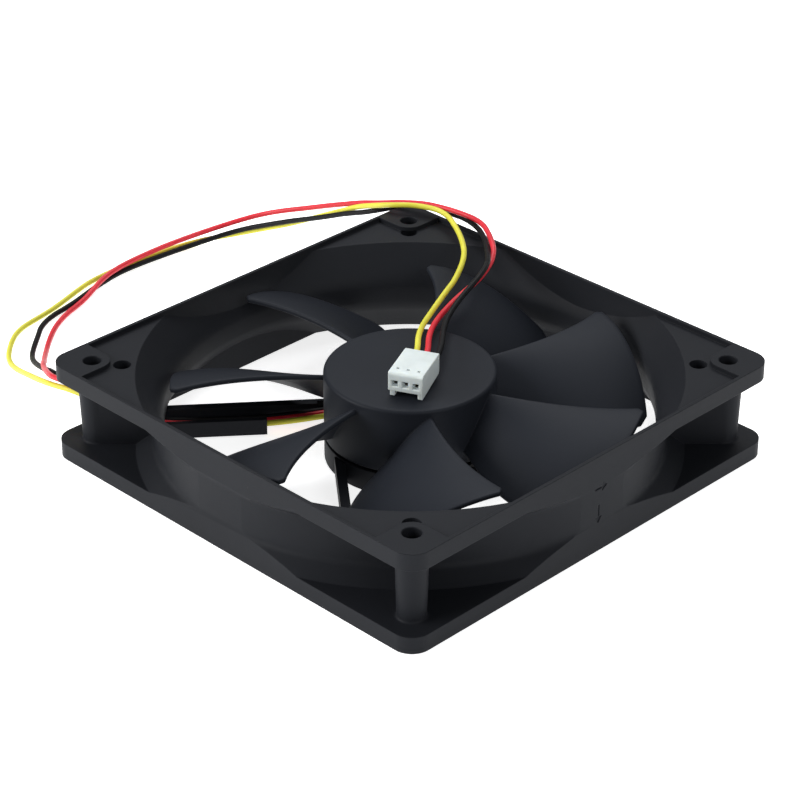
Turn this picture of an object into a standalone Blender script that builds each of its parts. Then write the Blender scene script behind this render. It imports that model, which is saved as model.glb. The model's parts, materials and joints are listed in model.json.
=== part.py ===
"""Case fan, 120 mm square and 25 mm deep, with three loose leads and their connector.

Metres, +Z up. Origin: centre of the frame's bottom face. The rotor turns about +Z.
Corners of the frame: L (-,-), F (+,-), R (+,+), B (-,+). The leads leave at corner L.
"""
import math

import bmesh
import bpy
from mathutils import Matrix, Vector

MM = 0.001

# ---------------------------------------------------------------- frame
SIDE = 120.0            # square side
DEPTH = 25.0            # overall depth
CORNER_R = 5.0          # corner radius of the flanges
FLANGE = 4.2            # flange thickness
RIM = 0.9               # thin wall left along each side of the mouths
THROAT_R = 57.8         # duct bore
MOUTH_R = 64.2          # flared mouths of the duct
FLARE = 7.6             # depth of each flare
DUCT_R = 60.4           # outside of the duct
HOLE_AT = 52.5          # screw holes, 105 mm apart
HOLE_R = 2.15
POST_R = (3.25, 3.75)   # pillar round each screw hole, foot and head
SECOND_AT = (47.6, 49.2)  # second hole beside each pillar: corners L and R, corners F and B
SECOND_R = 2.1
WEB = 3.3               # half width of the web from each pillar to the duct
SECOND_DEEP = 11.0      # the second holes go this deep into the webs
PAD_R = 4.2             # raised pad round each screw hole
RECESS = 1.2            # depth of the corner recess below the pads
# ---------------------------------------------------------------- motor base and struts
BASE_R = 20.4
CUP_TOP = 5.6
PLATE_Z = (0.6, 2.0)
TUBE_R = (3.8, 5.0)
TUBE_TOP = 16.9
STRUT_DIR = 230.0       # direction of the strut that carries the leads, degrees
STRUT_OFF = (16.3, 18.6)  # the struts leave the base at a tangent
STRUT_Z = (0.8, 5.0)
STRUT_END = 60.2
# ---------------------------------------------------------------- rotor
HUB_R = 20.4
HUB_Z = (6.3, 22.8)
BLADES = 7
TIP_R = 56.2
BLADE_T = 1.25
LEAD_ANGLE = (174.8, 176.8, 182.5)   # leading edge at the hub, half way and the tip, degrees
LEAD_Z = (20.6, 20.9, 21.0)
TRAIL_ANGLE = (147.5, 141.0, 148.8)
TRAIL_Z = (9.3, 7.9, 7.2)
SHAFT_R = 1.5
# ---------------------------------------------------------------- leads
LEAD_D = 1.4
LEAD_STEP = 4.1         # distance between the points of a lead
CHANNEL_T = (33.5, 60.2)  # the moulded channel beside the strut, distances along the strut
CHANNEL_OFF = (9.8, 11.0)  # its wall, distances from the axis
CHANNEL_FLOOR = 1.75
CHANNEL_TOP = 4.9
LANE = {"yellow": 11.92, "red": 13.5, "black": 15.08}  # each lead's place in the channel
LANE_Z = 2.62
GAP = 0.3

# ---------------------------------------------------------------- scene
for o in list(bpy.data.objects):
    bpy.data.objects.remove(o, do_unlink=True)


def collection(name):
    c = bpy.data.collections.get(name) or bpy.data.collections.new(name)
    if c.name not in [x.name for x in bpy.context.scene.collection.children]:
        bpy.context.scene.collection.children.link(c)
    return c


PARTS = collection("case_fan")
CUTTERS = collection("cutters")


def material(name, color, rough, metal=0.0):
    m = bpy.data.materials.get(name) or bpy.data.materials.new(name)
    m.use_nodes = True
    b = m.node_tree.nodes["Principled BSDF"]
    b.inputs["Base Color"].default_value = (*color, 1)
    b.inputs["Roughness"].default_value = rough
    b.inputs["Metallic"].default_value = metal
    return m


def finish(o, mat, col=None, smooth=True, cutter=False):
    (col or (CUTTERS if cutter else PARTS)).objects.link(o)
    if mat is not None:
        o.data.materials.clear()
        o.data.materials.append(mat)
    if o.type == "MESH" and smooth:
        o.data.shade_smooth()
        o.data.set_sharp_from_angle(angle=math.radians(32))
    if cutter:
        o.hide_render = True
        o.display_type = "WIRE"
    return o


def evaluated(o):
    """A plain mesh object in place of o, with its modifiers or curve worked out."""
    if o.name not in bpy.context.scene.objects:
        bpy.context.scene.collection.objects.link(o)
    bpy.context.view_layer.update()
    dg = bpy.context.evaluated_depsgraph_get()
    me = bpy.data.meshes.new_from_object(o.evaluated_get(dg))
    bm = bmesh.new()
    bm.from_mesh(me)
    bmesh.ops.remove_doubles(bm, verts=bm.verts, dist=1e-7)
    bm.to_mesh(me)
    bm.free()
    name, world = o.name, o.matrix_world.copy()
    bpy.data.objects.remove(o, do_unlink=True)
    new = bpy.data.objects.new(name, me)
    me.name = name
    new.matrix_world = world
    return new


def outward(o):
    bm = bmesh.new()
    bm.from_mesh(o.data)
    bmesh.ops.recalc_face_normals(bm, faces=bm.faces)
    bm.to_mesh(o.data)
    bm.free()
    return o


def prism(name, outlines, z0, z1):
    """A flat outline, or an outline with holes, extruded from z0 to z1 (mm)."""
    cu = bpy.data.curves.new(name, "CURVE")
    cu.dimensions = "2D"
    cu.fill_mode = "BOTH"
    cu.extrude = (z1 - z0) / 2 * MM
    for pts in outlines:
        s = cu.splines.new("POLY")
        s.points.add(len(pts) - 1)
        for p, (x, y) in zip(s.points, pts):
            p.co = (x * MM, y * MM, 0, 1)
        s.use_cyclic_u = True
    o = bpy.data.objects.new(name, cu)
    o.location = (0, 0, (z0 + z1) / 2 * MM)
    return evaluated(o)


def turned(name, profile, steps, cyclic=True):
    """A profile of (r, z) turned about Z. A cyclic one is a closed loop off the axis."""
    me = bpy.data.meshes.new(name)
    bm = bmesh.new()
    vs = [bm.verts.new((r * MM, 0, z * MM)) for r, z in profile]
    n = len(vs)
    for i in range(n if cyclic else n - 1):
        bm.edges.new((vs[i], vs[(i + 1) % n]))
    bm.to_mesh(me)
    bm.free()
    o = bpy.data.objects.new(name, me)
    m = o.modifiers.new("turn", "SCREW")
    m.axis = "Z"
    m.angle = 2 * math.pi
    m.steps = steps
    m.render_steps = steps
    m.use_merge_vertices = True
    m.merge_threshold = 1e-6
    m.use_normal_calculate = False
    return outward(evaluated(o))


def block(name, lo, hi, turn=0.0):
    """A box from lo to hi (mm), turned about Z by turn degrees."""
    me = bpy.data.meshes.new(name)
    bm = bmesh.new()
    bmesh.ops.create_cube(bm, size=1.0)
    c = [(a + b) / 2 * MM for a, b in zip(lo, hi)]
    s = [(b - a) * MM for a, b in zip(lo, hi)]
    bmesh.ops.scale(bm, vec=s, verts=bm.verts)
    bmesh.ops.translate(bm, vec=c, verts=bm.verts)
    bmesh.ops.rotate(bm, cent=(0, 0, 0), matrix=Matrix.Rotation(math.radians(turn), 3, "Z"), verts=bm.verts)
    bm.to_mesh(me)
    bm.free()
    return bpy.data.objects.new(name, me)


def rod(name, x, y, r, z0, z1, seg=24, r_top=None):
    me = bpy.data.meshes.new(name)
    bm = bmesh.new()
    bmesh.ops.create_cone(bm, cap_ends=True, cap_tris=False, segments=seg, radius1=r * MM, radius2=(r if r_top is None else r_top) * MM, depth=(z1 - z0) * MM)
    bmesh.ops.rotate(bm, cent=(0, 0, 0), matrix=Matrix.Rotation(math.pi / seg, 3, "Z"), verts=bm.verts)
    bmesh.ops.translate(bm, vec=(x * MM, y * MM, (z0 + z1) / 2 * MM), verts=bm.verts)
    bm.to_mesh(me)
    bm.free()
    return bpy.data.objects.new(name, me)


def boolean(o, tools, op):
    """Joins or cuts o with each tool in turn, and keeps the result as a plain mesh."""
    for t in tools:
        if t.name not in bpy.context.scene.objects:
            finish(t, None, cutter=True, smooth=False)
        m = o.modifiers.new(t.name, "BOOLEAN")
        m.operation = op
        m.solver = "EXACT"
        m.object = t
    return evaluated(o)


def arc(cx, cy, r, a0, a1, n):
    angles = [math.radians(a0 + (a1 - a0) * k / n) for k in range(n + 1)]
    return [(cx + r * math.cos(a), cy + r * math.sin(a)) for a in angles]


def rounded_square(half, r, n=6):
    pts = []
    for sx, sy, a in ((1, 1, 0), (-1, 1, 90), (-1, -1, 180), (1, -1, 270)):
        pts += arc(sx * (half - r), sy * (half - r), r, a, a + 90, n)
    return pts


def cut_names(tag, objs):
    for i, o in enumerate(objs):
        o.name = f"{tag}_{i + 1}"
    return objs


# ================================================================ frame
BLACK = (0.018, 0.019, 0.022)
m_frame = material("frame_plastic", BLACK, 0.55)
H = SIDE / 2
corners = [(sx, sy) for sx in (-1, 1) for sy in (-1, 1)]

duct = turned("duct_outside", [(0, 21.6), (66.0, 21.6), (DUCT_R, 17.6), (DUCT_R, 7.4), (66.0, 3.4), (0, 3.4)], 96, cyclic=False)
pocket = block("side_pocket", (-70, -70, FLANGE), (70, 70, DEPTH - FLANGE))
posts = cut_names("pillar", [rod("pillar", sx * HOLE_AT, sy * HOLE_AT, POST_R[0], 2, 23, 24, POST_R[1]) for sx, sy in corners])
webs = cut_names("web", [block("web", (57.0, -WEB, 2), (HOLE_AT * math.sqrt(2), WEB, 23), math.degrees(math.atan2(sy, sx))) for sx, sy in corners])
pocket = boolean(pocket, [duct] + posts + webs, "DIFFERENCE")

bore = turned(
    "duct_bore",
    [(0, 27), (MOUTH_R, 27), (MOUTH_R, DEPTH - RECESS + 0.2), (THROAT_R + 1.2, DEPTH - FLARE - 0.6), (THROAT_R, DEPTH - FLARE - 2.0),
     (THROAT_R, FLARE + 1.4), (THROAT_R + 1.2, FLARE), (MOUTH_R, 0), (MOUTH_R, -2), (0, -2)],
    96, cyclic=False)
inner = prism("inside_rim", [rounded_square(H - RIM, CORNER_R - RIM)], -3, 28)
bore = boolean(bore, [inner], "INTERSECT")

recess = prism("corner_recess", [rounded_square(H - RIM, CORNER_R - RIM)], DEPTH - RECESS, 27)


def pad(sx, sy, i):
    """A square of half size PAD_R round the screw hole, run out to the frame's edges, its inner corner round."""
    c, e = HOLE_AT, 62.0
    pts = [(e, c - PAD_R)] + [(e, e), (c - PAD_R, e)] + arc(c, c, PAD_R, 180, 270, 8)
    pts = [(sx * x, sy * y) for x, y in pts]
    return prism(f"pad_{i}", [pts if sx * sy > 0 else pts[::-1]], DEPTH - RECESS - 1, 28)


recess = boolean(recess, [pad(sx, sy, i) for i, (sx, sy) in enumerate(corners)], "DIFFERENCE")

holes = cut_names("screw_hole", [rod("screw_hole", sx * HOLE_AT, sy * HOLE_AT, HOLE_R, -2, 27, 20) for sx, sy in corners])
seconds = cut_names("second_hole", [rod("second_hole", sx * at, sy * at, SECOND_R, DEPTH - SECOND_DEEP, DEPTH - RECESS + 0.1, 16)
                                    for sx, sy in corners for at in [SECOND_AT[0 if sx * sy > 0 else 1]]])

# the slot that lets the leads out of the duct at the channel's end (built along +X, turned to the strut's direction)
slot = block("lead_slot", (49, -STRUT_OFF[0] - 0.05, CHANNEL_FLOOR - 0.03), (68.5, -CHANNEL_OFF[1] + 0.05, 8.6), STRUT_DIR)

frame = prism("frame", [rounded_square(H, CORNER_R)], 0, DEPTH)
frame = boolean(frame, [pocket, bore, recess] + holes + seconds, "DIFFERENCE")

base = turned(
    "motor_base",
    [(BASE_R, CUP_TOP), (BASE_R, 0.0), (17.6, 0.0), (17.6, PLATE_Z[0]), (TUBE_R[0], PLATE_Z[0]), (TUBE_R[0], TUBE_TOP),
     (TUBE_R[1], TUBE_TOP), (TUBE_R[1], PLATE_Z[1]), (19.2, PLATE_Z[1]), (19.2, CUP_TOP)],
    48)
struts = [block(f"strut_{i + 1}", (9.0, -STRUT_OFF[1], STRUT_Z[0]), (STRUT_END, -STRUT_OFF[0], STRUT_Z[1]), STRUT_DIR + 90 * i) for i in range(4)]
# a strut starts outside the cup's hollow, so the hollow is cut again after the join
hollow = turned("cup_hollow", [(19.2, 7.0), (19.2, PLATE_Z[1]), (TUBE_R[1] + 0.0, PLATE_Z[1]), (TUBE_R[1] + 0.0, 7.0)], 48)
struts = [boolean(s, [hollow] if i == 0 else [bpy.data.objects["cup_hollow"]], "DIFFERENCE") for i, s in enumerate(struts)]
for s in struts:
    CUTTERS.objects.link(s)
    s.hide_render = True
    s.display_type = "WIRE"
# the leads lie in a channel between the first strut and a low wall
wall = block("channel_wall", (CHANNEL_T[0], -CHANNEL_OFF[1], STRUT_Z[0]), (CHANNEL_T[1], -CHANNEL_OFF[0], CHANNEL_TOP), STRUT_DIR)
floor = block("channel_floor", (CHANNEL_T[0] + 0.1, -STRUT_OFF[0] - 0.7, STRUT_Z[0] + 0.05), (CHANNEL_T[1] - 0.2, -CHANNEL_OFF[0] - 0.4, CHANNEL_FLOOR), STRUT_DIR)
frame = boolean(frame, [base] + struts + [wall, floor], "UNION")
# the gap in the cup's wall where the leads come in
notch = block("cup_notch", (6.0, -17.6, 2.9), (21.0, -10.6, 6.4), STRUT_DIR)
frame = boolean(frame, [slot, notch], "DIFFERENCE")
finish(frame, m_frame)

# ================================================================ rotor
m_rotor = material("rotor_plastic", (0.020, 0.022, 0.027), 0.45)
m_steel = material("steel", (0.55, 0.56, 0.57), 0.35, 1.0)
m_yoke = material("yoke_steel", (0.38, 0.38, 0.37), 0.45, 1.0)
m_magnet = material("magnet", (0.06, 0.055, 0.05), 0.7)

spin = bpy.data.objects.new("rotor_axis", None)
PARTS.objects.link(spin)


def quad(v, t):
    """The parabola through three values at t = 0, 0.5 and 1."""
    return v[0] * (1 - t) * (1 - 2 * t) + v[1] * 4 * t * (1 - t) + v[2] * t * (2 * t - 1)


def blade_point(u, v):
    """u from the hub to the tip, v from the trailing to the leading edge."""
    r = (HUB_R - 0.75) + (TIP_R - HUB_R + 0.75) * u
    t = max(0.0, (r - HUB_R) / (TIP_R - HUB_R))
    a = quad(TRAIL_ANGLE, t) * (1 - v) + quad(LEAD_ANGLE, t) * v
    z0, z1 = quad(TRAIL_Z, t), quad(LEAD_Z, t)
    z = z0 * (1 - v) + z1 * v + (1.5 + 1.9 * t) * 4 * v * (1 - v) * (0.55 + 0.45 * v)
    return r, a, z


def blade(i, nu=8, nv=6):
    me = bpy.data.meshes.new(f"blade_{i + 1}")
    bm = bmesh.new()
    bmesh.ops.create_grid(bm, x_segments=nu, y_segments=nv, size=0.5)
    turn = i * 360.0 / BLADES
    for p in bm.verts:
        r, a, z = blade_point(p.co.x + 0.5, p.co.y + 0.5)
        q = math.radians(a + turn)
        p.co = (r * math.cos(q) * MM, r * math.sin(q) * MM, z * MM)
    bm.to_mesh(me)
    bm.free()
    o = bpy.data.objects.new(f"blade_{i + 1}", me)
    m = o.modifiers.new("thickness", "SOLIDIFY")
    m.thickness = BLADE_T * MM
    m.offset = 0.0
    m.use_even_offset = True
    return outward(evaluated(o))


hub = turned(
    "impeller",
    [(0, HUB_Z[1]), (HUB_R - 0.9, HUB_Z[1]), (HUB_R - 0.27, HUB_Z[1] - 0.27), (HUB_R, HUB_Z[1] - 0.9), (HUB_R, HUB_Z[0]),
     (19.1, HUB_Z[0]), (19.1, 21.2), (4.1, 21.2), (4.1, 17.5), (1.8, 17.5), (1.8, 21.2), (0, 21.2)],
    56, cyclic=False)
impeller = boolean(hub, [blade(i) for i in range(BLADES)], "UNION")
finish(impeller, m_rotor)

yoke = finish(turned("rotor_yoke", [(18.8, 20.9), (18.8, 7.0), (17.9, 7.0), (17.9, 20.1), (4.4, 20.1), (4.4, 20.9)], 40), m_yoke)
magnet = finish(turned("magnet_ring", [(17.6, 18.8), (17.6, 8.3), (14.7, 8.3), (14.7, 18.8)], 40), m_magnet)
shaft = finish(turned("shaft", [(0, 20.9), (1.2, 20.9), (SHAFT_R, 20.6), (SHAFT_R, 3.0), (1.1, 3.0), (1.1, 2.2), (SHAFT_R, 2.2), (SHAFT_R, 1.95), (1.2, 1.75), (0, 1.75)], 20, cyclic=False), m_steel)
m_fibre = material("washer_fibre", (0.75, 0.74, 0.68), 0.6)
washer = finish(turned("thrust_washer", [(3.2, 17.25), (3.2, 16.85), (1.8, 16.85), (1.8, 17.25)], 24), m_fibre)
clip_pts = arc(0, 0, 2.7, 25, 335, 20) + arc(0, 0, 1.35, 335, 25, 16)
m_clip = material("clip_nylon", (0.85, 0.85, 0.82), 0.5)
clip = finish(prism("retaining_clip", [clip_pts], 2.4, 2.8), m_clip)
for o in (impeller, yoke, magnet, shaft, washer, clip):
    o.parent = spin

# ================================================================ stator
m_bronze = material("bearing_bronze", (0.55, 0.38, 0.20), 0.45, 1.0)
m_core = material("core_steel", (0.30, 0.30, 0.31), 0.5, 1.0)
m_ins = material("insulator_nylon", (0.80, 0.79, 0.74), 0.5)
m_copper = material("copper_winding", (0.62, 0.22, 0.08), 0.35, 1.0)
m_board = material("board", (0.02, 0.16, 0.06), 0.45)
m_chip = material("chip", (0.02, 0.02, 0.02), 0.4)
m_cap = material("capacitor", (0.55, 0.40, 0.24), 0.5)
m_label = material("label", (0.70, 0.71, 0.72), 0.5)
m_plug = material("plug_rubber", (0.05, 0.05, 0.05), 0.8)

finish(turned("bearing_sleeve", [(3.5, 16.5), (3.5, 3.2), (1.7, 3.2), (1.7, 16.5)], 24), m_bronze)


def pole_outline(arm, shoe_r, shoe_in, span, ring_r):
    """Four arms with curved shoes round a ring."""
    pts = []
    for k in range(4):
        a = 90 * k
        half = math.degrees(math.asin(arm / 2 / ring_r))
        half_in = math.degrees(math.asin(arm / 2 / shoe_in))
        pts += arc(0, 0, ring_r, a - 90 + half, a - half, 3)[1:]
        pts += arc(0, 0, shoe_in, a - half_in, a - span / 2, 2)
        pts += arc(0, 0, shoe_r, a - span / 2, a + span / 2, 7)
        pts += arc(0, 0, shoe_in, a + span / 2, a + half_in, 2)
        pts += arc(0, 0, ring_r, a + half, a + half, 1)[:1]
    return pts


def circle(r, n=32):
    return arc(0, 0, r, 0, 360, n)[:-1]


finish(prism("stator_core", [pole_outline(3.6, 14.1, 12.7, 72, 7.4), circle(5.3, 20)], 9.0, 15.0), m_core)
finish(prism("lower_insulator", [pole_outline(4.0, 13.7, 12.5, 64, 7.5), circle(5.3, 20)], 8.1, 8.7), m_ins)
finish(prism("upper_insulator", [pole_outline(4.0, 13.7, 12.5, 64, 7.5), circle(5.3, 20)], 15.3, 15.9), m_ins)


def rounded_rect(hx, hy, r, n=4):
    pts = []
    for sx, sy, a in ((1, 1, 0), (-1, 1, 90), (-1, -1, 180), (1, -1, 270)):
        pts += arc(sx * (hx - r), sy * (hy - r), r, a, a + 90, n)
    return pts


for k in range(4):
    c = prism(f"stator_coil_{k + 1}", [rounded_rect(4.3, 5.8, 1.6, 3), rounded_rect(2.4, 4.25, 0.5, 1)], -1.75, 1.75)
    # the outline's x is across the arm and its y is up: stand it up and turn it to its arm
    c.data.transform(Matrix.Rotation(math.radians(90 * k), 4, "Z") @ Matrix.Translation((9.75 * MM, 0, 12.0 * MM)) @ Matrix(((0, 0, 1, 0), (1, 0, 0, 0), (0, 1, 0, 0), (0, 0, 0, 1))))
    finish(c, m_copper)

finish(prism("circuit_board", [circle(17.5, 40), circle(5.6, 20)], 3.5, 4.9), m_board)


def on_board(name, r, a, sx, sy, h, mat):
    o = block(name, (r - sx / 2, -sy / 2, 4.9 + GAP), (r + sx / 2, sy / 2, 4.9 + GAP + h), a)
    m = o.modifiers.new("edge", "BEVEL")
    m.width = 0.15 * MM
    m.segments = 1
    return finish(evaluated(o), mat)


on_board("hall_driver_chip", 12.0, 45, 3.0, 4.2, 0.8, m_chip)
on_board("capacitor", 12.5, 135, 1.6, 3.2, 0.75, m_cap)
finish(turned("bearing_plug", [(0, 1.45), (3.2, 1.45), (3.45, 1.2), (3.45, 0.75), (0, 0.75)], 24, cyclic=False), m_plug)
finish(turned("back_label", [(0, 0.3), (17.2, 0.3), (17.2, 0.1), (0, 0.1)], 40, cyclic=False), m_label)

# ================================================================ connector
CON_AT = Vector((6.65, -5.55, 0.0))   # centre of the housing in plan
CON_DIR = -64.5                     # from the leads' end towards the mouth, degrees
CON_L, CON_W = 12.1, 8.4
CON_Z = (HUB_Z[1] + GAP, HUB_Z[1] + GAP + 6.1)   # bottom of the feet, top
FOOT = 1.25
PITCH = 2.54
CAV = 2.0
MOUTH = 1.45                # the smaller openings for the pins
CON_CAV_Z = CON_Z[0] + FOOT + 1.9    # height of the contacts
m_white = material("connector_nylon", (0.80, 0.81, 0.78), 0.45)
m_tin = material("terminal_tin", (0.72, 0.71, 0.68), 0.35, 1.0)
con_matrix = Matrix.Translation(CON_AT * MM) @ Matrix.Rotation(math.radians(CON_DIR), 4, "Z")


def at_connector(o):
    o.data.transform(con_matrix)
    return o


x0, x1 = -CON_L / 2, CON_L / 2
shell = block("connector_housing", (x0, -CON_W / 2, CON_Z[0] + FOOT), (x1, CON_W / 2, CON_Z[1]))
m = shell.modifiers.new("edge", "BEVEL")
m.width = 0.2 * MM
m.segments = 2
shell = evaluated(shell)
# the soft upper edge of the front
nose = block("nose", (x1 - 0.9, -CON_W, CON_Z[1] - 0.9), (x1 + 1.0, CON_W, CON_Z[1] + 1.0))
round_nose = evaluated(turned("round_nose", [(0, 8.0), (0.9, 8.0), (0.9, -8.0), (0, -8.0)], 32, cyclic=False))
round_nose.data.transform(Matrix.Translation(((x1 - 0.9) * MM, 0, (CON_Z[1] - 0.9) * MM)) @ Matrix.Rotation(math.radians(90), 4, "X"))
nose = boolean(nose, [round_nose], "DIFFERENCE")
CUTTERS.objects.link(nose)
nose.hide_render = True
nose.display_type = "WIRE"
shell = boolean(shell, [nose], "DIFFERENCE")
feet = []
for i, s in enumerate((-1, 1)):
    edge = s * (CON_W / 2 - (0.45 if s < 0 else 0.0))
    f = block(f"foot_{i}", (x0 + 0.3, min(edge, edge - s * 1.2), CON_Z[0]), (x1 - 0.05, max(edge, edge - s * 1.2), CON_Z[0] + FOOT + 0.6))
    for v in f.data.vertices:
        if v.co.z < (CON_Z[0] + 0.1) * MM and v.co.x < 0:
            v.co.z += 0.9 * MM
    feet.append(f)
shell = boolean(shell, feet, "UNION")
tools = []
for i in (-1, 0, 1):
    y = i * PITCH
    tools.append(block(f"cavity_{i}", (x0 - 1, y - CAV / 2, CON_CAV_Z - CAV / 2), (x1 - 1.0, y + CAV / 2, CON_CAV_Z + CAV / 2)))
    tools.append(block(f"pin_opening_{i}", (x1 - 1.5, y - MOUTH / 2, CON_CAV_Z - MOUTH / 2), (x1 + 1, y + MOUTH / 2, CON_CAV_Z + MOUTH / 2)))
    tools.append(block(f"latch_window_{i}", (x1 - 2.7, y - 0.4, CON_CAV_Z), (x1 - 1.9, y + 0.4, CON_Z[1] + 1)))
shell = boolean(shell, tools, "DIFFERENCE")
finish(at_connector(shell), m_white)
TERM = 1.3
for i, colour in ((-1, "yellow"), (0, "red"), (1, "black")):
    y = i * PITCH
    t = block(f"terminal_{colour}", (x0 + 2.2, y - TERM / 2, CON_CAV_Z - TERM / 2), (x1 - 1.4, y + TERM / 2, CON_CAV_Z + TERM / 2))
    t = boolean(t, [block(f"socket_{colour}", (x1 - 6.4, y - 0.4, CON_CAV_Z - 0.4), (x1, y + 0.4, CON_CAV_Z + 0.4))], "DIFFERENCE")
    finish(at_connector(t), m_tin)


# ================================================================ leads
def along(t, off, z, spread=0.0):
    """A point beside the strut: t outwards along it, off from the axis."""
    d = Vector((math.cos(math.radians(STRUT_DIR)), math.sin(math.radians(STRUT_DIR)), 0))
    n = Vector((d.y, -d.x, 0))
    return d * t + n * (off + spread) + Vector((0, 0, z))


def at_con(x, y, z):
    p = con_matrix @ Vector((x * MM, y * MM, 0))
    return Vector((p.x / MM, p.y / MM, z))


def smooth_route(points, step):
    """Evenly spaced points on the centripetal Catmull-Rom curve through the route's own points."""
    P = [Vector(p) for p in points]
    P = [P[0] * 2 - P[1]] + P + [P[-1] * 2 - P[-2]]
    fine = []
    for a, b, c, d in zip(P, P[1:], P[2:], P[3:]):
        t0 = 0.0
        t1 = t0 + (b - a).length ** 0.5
        t2 = t1 + (c - b).length ** 0.5
        t3 = t2 + (d - c).length ** 0.5
        for k in range(24):
            t = t1 + (t2 - t1) * k / 24
            a1 = a * ((t1 - t) / (t1 - t0)) + b * ((t - t0) / (t1 - t0))
            a2 = b * ((t2 - t) / (t2 - t1)) + c * ((t - t1) / (t2 - t1))
            a3 = c * ((t3 - t) / (t3 - t2)) + d * ((t - t2) / (t3 - t2))
            b1 = a1 * ((t2 - t) / (t2 - t0)) + a2 * ((t - t0) / (t2 - t0))
            b2 = a2 * ((t3 - t) / (t3 - t1)) + a3 * ((t - t1) / (t3 - t1))
            fine.append(b1 * ((t2 - t) / (t2 - t1)) + b2 * ((t - t1) / (t2 - t1)))
    fine.append(P[-2])
    total = [0.0]
    for a, b in zip(fine, fine[1:]):
        total.append(total[-1] + (b - a).length)
    n = max(2, round(total[-1] / step))
    out, j = [], 0
    for i in range(n + 1):
        s = total[-1] * i / n
        while j < len(total) - 2 and total[j + 1] < s:
            j += 1
        w = (s - total[j]) / max(1e-9, total[j + 1] - total[j])
        out.append(fine[j].lerp(fine[j + 1], w))
    return out, total[-1]


def tube(name, points, r, mat, caps=True):
    cu = bpy.data.curves.new(name, "CURVE")
    cu.dimensions = "3D"
    s = cu.splines.new("POLY")
    s.points.add(len(points) - 1)
    for p, q in zip(s.points, points):
        p.co = (q.x * MM, q.y * MM, q.z * MM, 1)
    cu.bevel_depth = r * MM
    cu.bevel_resolution = 2
    cu.use_fill_caps = caps
    o = bpy.data.objects.new(name, cu)
    return finish(evaluated(o), mat)


m_yellow = material("lead_yellow", (0.78, 0.68, 0.05), 0.4)
m_red = material("lead_red", (0.72, 0.03, 0.04), 0.4)
m_blackw = material("lead_black", (0.015, 0.015, 0.016), 0.4)

# height of each lead's solder pad is the board's; off is its distance from the axis
PAD_OFF = {"yellow": 12.0, "red": 14.0, "black": 16.0}


def start(c):
    """From the board's edge, along the channel, to the slot in the duct."""
    off, lane = PAD_OFF[c], LANE[c]
    t0 = math.sqrt(17.5 ** 2 - (off - 0.75) ** 2) + 0.45
    return [along(t0, off, 4.2), along(t0 + 3.0, off * 0.8 + lane * 0.2, 4.2), along(27.0, lane, 3.1),
            along(34.0, lane, LANE_Z), along(45.0, lane, LANE_Z), along(53.5, lane, LANE_Z + 0.1)]


def end(c, i):
    y = i * PITCH
    return [at_con(x0 - 3.0, y, CON_CAV_Z), at_con(x0 + 0.5, y, CON_CAV_Z), at_con(x0 + 1.9, y, CON_CAV_Z)]


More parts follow.
